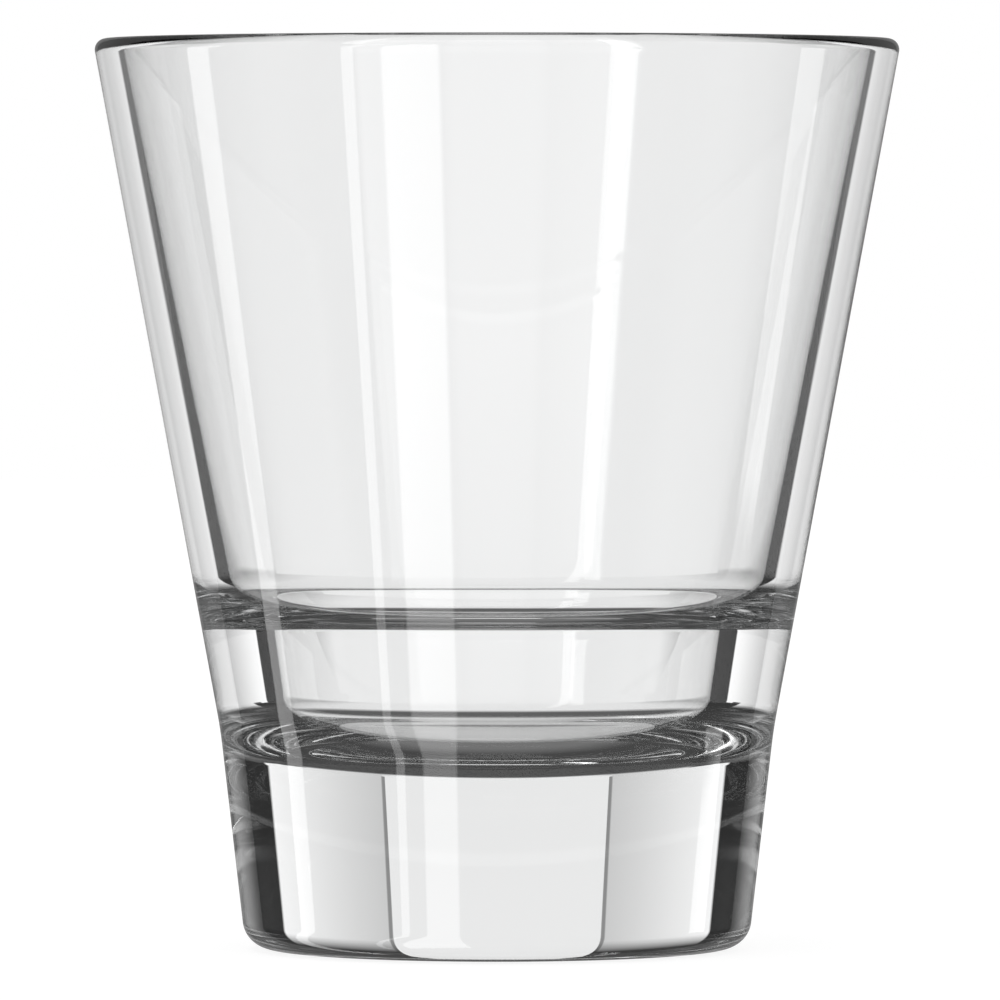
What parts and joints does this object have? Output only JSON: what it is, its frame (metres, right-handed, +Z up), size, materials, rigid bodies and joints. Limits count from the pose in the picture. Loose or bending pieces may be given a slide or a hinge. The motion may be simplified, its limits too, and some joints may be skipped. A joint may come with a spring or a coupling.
{
  "type": "rocks glass",
  "caption": "Flared clear drinking glass with a thick solid base, a dished lower chamber and a hollowed inner ledge on which the heel of another such glass seats for stacking.",
  "frame": {"origin": "middle of the flat underside, on the glass's axis", "axes": "+Z up along the glass's axis from the underside to the rim; +X and +Y are level, and any turn about +Z is alike because the glass is round"},
  "size_m": [0.097, 0.097, 0.1097],
  "materials": {
    "clear_glass": "polished clear pressed glass"
  },
  "bodies": {
    "root": {"glass_body": "clear_glass"}
  },
  "joints": []
}
